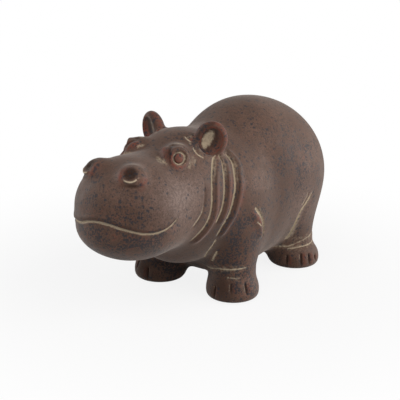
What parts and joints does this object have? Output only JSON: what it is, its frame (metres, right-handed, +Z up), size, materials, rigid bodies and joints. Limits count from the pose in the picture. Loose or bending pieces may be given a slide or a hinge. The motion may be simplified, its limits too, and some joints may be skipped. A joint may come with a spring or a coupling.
{
  "type": "hippopotamus statue",
  "caption": "Standing hippopotamus statue, one solid cast piece in warm grey-brown speckled clay with carved folds, wide muzzle, small round ears and four short legs with toes",
  "frame": {"origin": "On the ground the four soles stand on, below the middle of the statue's length and width", "axes": "The animal faces -Y, its left side is towards +X and +Z is up"},
  "size_m": [0.1448, 0.3371, 0.181],
  "materials": {
    "clay": "matt to satin, with fine dark speckles, a cream wash in the carved lines and red-brown raised edges"
  },
  "bodies": {
    "root": {"hippopotamus": "clay"}
  },
  "joints": []
}
